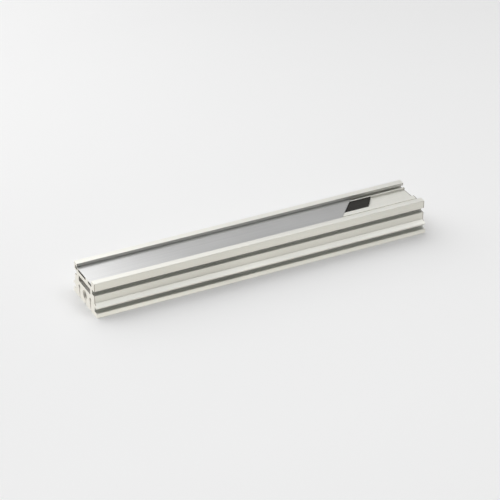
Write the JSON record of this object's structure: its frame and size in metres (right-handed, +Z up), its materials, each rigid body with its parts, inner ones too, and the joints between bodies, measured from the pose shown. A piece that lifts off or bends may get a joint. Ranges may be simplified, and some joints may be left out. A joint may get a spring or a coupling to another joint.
{
  "type": "aluminium extrusion profile",
  "caption": "Cut length of aluminium guide extrusion with side grooves and a flared base; its lipped top channel holds a magnetic tape under a steel cover strip.",
  "frame": {"origin": "centre of the footprint, on the plane of the base that the profile lies on", "axes": "+X along the extrusion towards the end where the tape and the cover strip are cut back, +Y across it towards the side with the thin rib, +Z up out of the top channel"},
  "size_m": [0.204, 0.0326, 0.02],
  "materials": {
    "aluminium": "clear satin anodised, fine lines along the extrusion",
    "magnetic_tape": "matt, magnet-filled rubber",
    "steel_strip": "rolled, satin"
  },
  "bodies": {
    "root": {"extruded_profile": "aluminium", "magnetic_tape": "magnetic_tape", "cover_strip": "steel_strip"}
  },
  "joints": []
}
